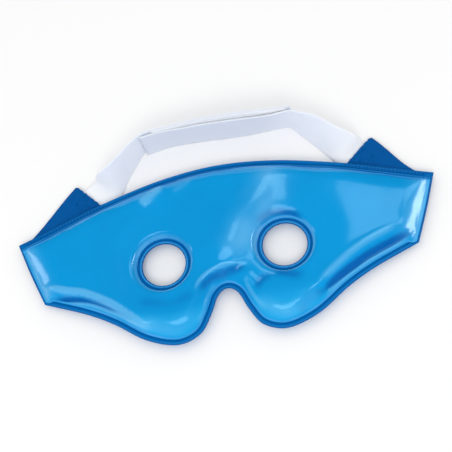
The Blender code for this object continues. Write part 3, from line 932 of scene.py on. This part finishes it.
def film_material():
    """Glossy vinyl film: bright over the gel, dark blue where welded or pressed thin, with painted
    light, shade and highlights.
    """
    g = Graph("blue_vinyl_film", DOME_BLUE)
    edge, depth = g.attribute("edge_mm"), g.attribute("painted_gel_shading")
    top, eye = g.attribute("top_mm"), g.attribute("eye_mm")
    # The gel, with a random tone; painted light on the lobes and swells, painted shade in the
    # hollows and near the forehead edge, and mottled painted highlights.
    g.paint(g.span(g.noise(26.0, 3.0, 0.55), 0.35, 0.7), DOME_BLUE_2)
    g.paint(g.span(depth, 0.0, 1.0), GEL_LIGHT_BLUE)
    g.paint(g.span(depth, 0.0, -0.9), GEL_SHADE_BLUE)
    g.paint(g.times(g.span(g.attribute("ridge_highlight"), 0.25, 1.0), 0.62), PALE_HIGHLIGHT_BLUE)
    cloud = g.span(g.noise(38.0, 2.0, 0.5), 0.36, 0.60, 0.35, 1.0)
    g.paint(g.times(g.attribute("painted_highlight"), cloud, 0.6), PALE_HIGHLIGHT_BLUE)
    # The flange, with a painted highlight along its cut edge, strongest round the eye holes.
    rim = g.math("MAXIMUM", g.span(edge, 2.6, 3.1, 1.0, 0.0), g.span(top, 4.1, 4.7, 1.0, 0.0))
    g.paint(rim, FLANGE_BLUE)
    rim_highlight = g.times(g.span(eye, 0.4, 0.7), g.span(edge, 1.1, 1.5, 1.0, 0.0))
    g.paint(g.times(rim_highlight, g.span(eye, 2.0, 2.6, 0.85, 0.2)), RIM_HIGHLIGHT_BLUE)
    # Painted highlights: pale broken lines where the film leaves the weld, a ring round each eye
    # hole, and lines along the forehead edge.
    patches = g.noise(60.0)
    uneven = g.span(patches, 0.35, 0.65, 0.35, 0.95)
    crease_highlight = g.times(g.band(edge, (2.7, 3.0), (3.4, 3.8)), g.span(top, 3.9, 4.9))
    g.paint(g.times(crease_highlight, uneven), CREASE_HIGHLIGHT_BLUE)
    eye_ring_highlight = g.times(g.band(eye, (2.9, 3.3), (3.6, 5.0)), g.span(depth, -0.25, 0.0))
    g.paint(g.times(eye_ring_highlight, uneven, 0.5), PALE_HIGHLIGHT_BLUE)
    line = g.band(top, (3.2, 3.5), (3.7, 4.0))
    g.paint(g.times(line, uneven, 0.3), PALE_HIGHLIGHT_BLUE)
    crest_highlight = g.band(top, (4.5, 4.9), (5.4, 6.1))
    g.paint(g.times(crest_highlight, uneven), CREASE_HIGHLIGHT_BLUE)
    # Dark lines at the weld and the cut edge; the tab behind the flange, with dashes over it.
    g.paint(g.times(g.band(edge, (1.7, 2.2), (2.5, 2.8)), 0.65), WELD_BLUE)
    g.paint(g.span(edge, 0.15, 0.6, 0.8, 0.0), SHADED_BLUE)
    behind, along = g.attribute("over_tab"), g.attribute("along_mm")
    g.paint(g.times(behind, g.span(edge, 2.2, 3.0, 0.6, 0.0)), SHADED_BLUE)
    dash, rows = g.wave(along, DASH_PITCH), g.wave(edge, DASH_ROWS)
    dashes = g.times(g.span(dash, 0.0, 0.6), g.span(rows, 0.1, 0.8))
    shown = g.times(behind, g.span(edge, 2.0, 2.3, 0.7, 0.0))
    g.paint(g.times(dashes, shown), DASH_BLUE)
    # A knurled weld, slow waves and a fine grain; the flange is matt, the gel pillow glossy.
    knurl = g.times(g.wave(along, KNURL_PITCH), g.band(edge, (0.9, 1.2), (1.6, 1.9)))
    normal = g.bump(knurl, 0.05)
    normal = g.bump(g.noise(170.0), 0.22, normal)
    normal = g.bump(g.noise(1500.0), 0.012, normal)
    rough = g.math("ADD", g.span(patches, 0.3, 0.7, 0.30, 0.38), g.times(rim, 0.15))
    matt = g.math("MAXIMUM", rim, g.span(top, 4.9, 6.0, 1.0, 0.0))
    gloss = g.math("SUBTRACT", 0.9, g.times(matt, 0.84))
    return g.finish(normal, Roughness=rough, Specular_IOR_Level=0.0, Coat_Weight=gloss,
                    Coat_Roughness=0.15, Coat_IOR=1.5)


TAB_BLUE, TAB_BLUE_2 = (0.0, 0.087, 0.325), (0.0, 0.097, 0.355)
FIBRE_BLUE = (0.0, 0.118, 0.42)
THREAD_BLUE, THREAD_BLUE_2 = (0.0, 0.08, 0.30), (0.0, 0.105, 0.38)
TAB_WEAVE = 0.55


def tab_material():
    """Brushed blue fabric with a short nap."""
    g = Graph("blue_tab_fabric", TAB_BLUE)
    u, v = g.uv_mm()
    fibre = g.noise(2600.0, 2.0, 0.7)
    g.paint(g.span(g.noise(90.0, 3.0, 0.6), 0.3, 0.7), TAB_BLUE_2)
    g.paint(g.span(fibre, 0.3, 0.75, 0.0, 0.35), FIBRE_BLUE)
    normal = g.bump(g.times(g.wave(u, TAB_WEAVE), g.wave(v, TAB_WEAVE)), 0.04)
    normal = g.bump(fibre, 0.14, normal)
    return g.finish(normal, Roughness=0.92, Specular_IOR_Level=0.06, Sheen_Weight=0.02,
                    Sheen_Roughness=0.4)


CORD_PITCH, PICK_PITCH = 1.15, 0.6
STRAP_WHITE, STRAP_WHITE_2 = (0.83, 0.87, 0.96), (0.86, 0.89, 0.97)
# Painted shade behind the mask, and painted light beside the tab.
STRAP_SHADE_WHITE = (0.73, 0.775, 0.87)
STRAP_LIT_WHITE = (0.96, 0.975, 0.985)
GAP_WHITE = (0.74, 0.79, 0.90)
SELVEDGE_WHITE = (0.93, 0.95, 0.99)


def strap_material():
    """White woven elastic: fine lengthwise cords crossed by close picks, with dense edges.

    Painted shade makes it bluish grey where it stands behind the mask; painted light makes it
    whitest beside its tab.
    """
    g = Graph("white_strap_weave", STRAP_WHITE)
    u, v = g.uv_mm()
    cords, picks = g.wave(u, CORD_PITCH), g.wave(v, PICK_PITCH)
    weave = g.math("ADD", g.times(cords, 0.6), g.times(cords, picks, 0.4))
    g.paint(g.span(g.noise(55.0, 3.0, 0.55), 0.3, 0.7), STRAP_WHITE_2)
    # Painted shade where the strap stands behind the mask.
    g.paint(g.span(v, 45.0, 75.0), STRAP_SHADE_WHITE)
    # Painted light beside the tab.
    g.paint(g.span(v, 8.0, 32.0, 1.0, 0.0), STRAP_LIT_WHITE)
    g.paint(g.span(weave, -0.6, 0.7, 0.22, 0.0), GAP_WHITE)
    off_middle = g.math("ABSOLUTE", g.math("SUBTRACT", u, STRAP_W / 2))
    g.paint(g.times(g.span(off_middle, 8.1, 8.6), 0.35), SELVEDGE_WHITE)
    height = g.math("ADD", weave, g.times(g.noise(3200.0), 0.6))
    return g.finish(g.bump(height, 0.035), Roughness=0.85, Specular_IOR_Level=0.15,
                    Sheen_Weight=0.05, Sheen_Roughness=0.5)


PILE_WHITE = (0.92, 0.93, 0.96)
HOOK_SHADE, LOOP_SHADE = (0.84, 0.86, 0.91), (0.82, 0.85, 0.90)


def pile_material(name, shade, roughness):
    """White hook or loop tape: woven base and filaments with slight shade changes."""
    g = Graph(name, shade)
    grain = g.noise(1400.0, 3.0, 0.6)
    g.paint(g.span(grain, 0.3, 0.7), PILE_WHITE)
    return g.finish(g.bump(grain, 0.08), Roughness=roughness, Specular_IOR_Level=0.3)


def thread_material():
    """Blue sewing thread with a fine twist."""
    g = Graph("blue_thread_twist", THREAD_BLUE)
    twist = g.noise(3000.0, 1.0)
    g.paint(g.span(twist, 0.3, 0.7), THREAD_BLUE_2)
    return g.finish(g.bump(twist, 0.03), Roughness=0.85, Specular_IOR_Level=0.05)


def floor_material():
    g = Graph("studio_floor", (0.945, 0.945, 0.945))
    g.paint(g.noise(3.0), (0.955, 0.955, 0.955))
    return g.finish(Roughness=0.95, Specular_IOR_Level=0.0)


# ---- studio
SKY_AT_HORIZON, SKY_OVERHEAD = 0.985, 0.815
PALE_CYAN = (0.52, 0.92, 1.0)
NEAR_WHITE = (0.88, 0.97, 1.0)
# Name, place, aim, size, power; then tint, shape and roll in degrees where they are not the
# usual ones. Lights with a tint are there for reflections and light no matt surface.
LIGHTS = (
    ("key", (0.0, -0.35, 1.3), (0, 0, 0), (0.9, 0.9), 1.1),
    ("front_key", (0.0, -0.95, 0.95), (0, 0, 0), (0.7, 0.5), 3.6),
    ("right_back_box", (0.32, 0.50, 1.08), (0.05, 0, 0), (0.44, 0.55), 1.9, PALE_CYAN,
     "ELLIPSE", 16.0),
    ("right_end_box", (0.50, 0.065, 0.235), (0.1, 0, 0), (0.30, 0.12), 1.45, NEAR_WHITE,
     "RECTANGLE"),
    ("right_box", (0.54, 0.37, 0.61), (0, 0, 0), (0.3, 0.3), 0.8, PALE_CYAN),
    ("left_box", (-0.74, 0.12, 0.27), (-0.1, 0, 0), (0.13, 0.3), 0.45, NEAR_WHITE),
    ("overhead_box", (-0.04, -0.2, 0.9), (0, 0, 0), (0.62, 0.42), 2.6, PALE_CYAN),
)


def area_light(name, place, aim, size, power, tint=None, shape="ELLIPSE", roll=0.0):
    """Soft light at place, facing aim."""
    data = bpy.data.lights.new(name, "AREA")
    data.energy = power
    data.shape = shape
    data.size, data.size_y = size
    data.color = tint or (1.0, 1.0, 1.0)
    light = bpy.data.objects.new(name, data)
    bpy.context.scene.collection.objects.link(light)
    light.location = place
    light.rotation_mode = "QUATERNION"
    turn = Matrix.Rotation(math.radians(roll), 3, "Z").to_quaternion()
    light.rotation_quaternion = (Vector(place) - Vector(aim)).to_track_quat("Z", "Y") @ turn
    light.visible_diffuse = tint is None
    light.visible_glossy = tint is not None


def make_sky():
    """White sky, brighter at the horizon than overhead, that leaves glossy surfaces alone."""
    sky = bpy.data.worlds.new("studio")
    bpy.context.scene.world = sky
    sky.use_nodes = True
    nodes, links = sky.node_tree.nodes, sky.node_tree.links
    background = nodes["Background"]
    background.inputs["Color"].default_value = (1.0, 1.0, 1.0, 1.0)
    toward = nodes.new("ShaderNodeTexCoord").outputs["Generated"]
    split = nodes.new("ShaderNodeSeparateXYZ")
    level = nodes.new("ShaderNodeMapRange")
    for index, value in enumerate((0.0, 1.0, SKY_AT_HORIZON, SKY_OVERHEAD), 1):
        level.inputs[index].default_value = value
    links.new(toward, split.inputs[0])
    links.new(split.outputs["Z"], level.inputs["Value"])
    links.new(level.outputs[0], background.inputs["Strength"])
    sky.cycles_visibility.glossy = False


def make_studio():
    corners = [(-3, -3, 0), (3, -3, 0), (3, 3, 0), (-3, 3, 0)]
    floor = new_mesh("floor", corners, [(0, 1, 2, 3)], False)
    floor.data.materials.append(floor_material())
    make_sky()
    for light in LIGHTS:
        area_light(*light)
    bpy.context.scene.view_settings.view_transform = "Standard"


make_camera()
make_studio()

pillow = build_mask()
pillow.data.materials.append(film_material())
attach(pillow, "mask")
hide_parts("front_film", "back_film", "gel_fill")

tab_cloth, thread = tab_material(), thread_material()
for prefix, side, tip, angle, waist, root_in in TABS:
    tab, length = build_tab(prefix, side, tip, angle, waist, root_in)
    tab.data.materials.append(tab_cloth)
    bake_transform(tab)
    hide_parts(prefix + "_tab", prefix + "_tab_root")
    stitches = build_stitches(prefix, side, tip, angle)
    stitches.data.materials.append(thread)
    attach(stitches, prefix + "_half")
    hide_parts(prefix + "_tab_stitching")

weave = strap_material()
(left, left_length, left_edges), (right, right_length, right_edges) = build_straps()
hooks, hook_length = build_patch(
    "hook_field", patch_frame(*right_edges, HOOK_X, 1.0), HOOK_SHAPE, HOOK_PITCH, HOOK_HALF)
loops, loop_length = build_patch(
    "loop_field", patch_frame(*left_edges, LOOP_X, -1.0), LOOP_SHAPE, LOOP_PITCH, LOOP_HALF)
hooks.data.materials.append(pile_material("white_hook_tape", HOOK_SHADE, 0.6))
loops.data.materials.append(pile_material("white_loop_tape", LOOP_SHADE, 0.9))
for obj, length in ((left, left_length), (right, right_length)):
    obj.data.materials.append(weave)
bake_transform(left)
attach(right, "right_half")
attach(hooks, "right_half")
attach(loops, "closure_flap")
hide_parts("left_strap", "left_strap_end")
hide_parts("right_strap")
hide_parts("hook_patch")
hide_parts("loop_patch")
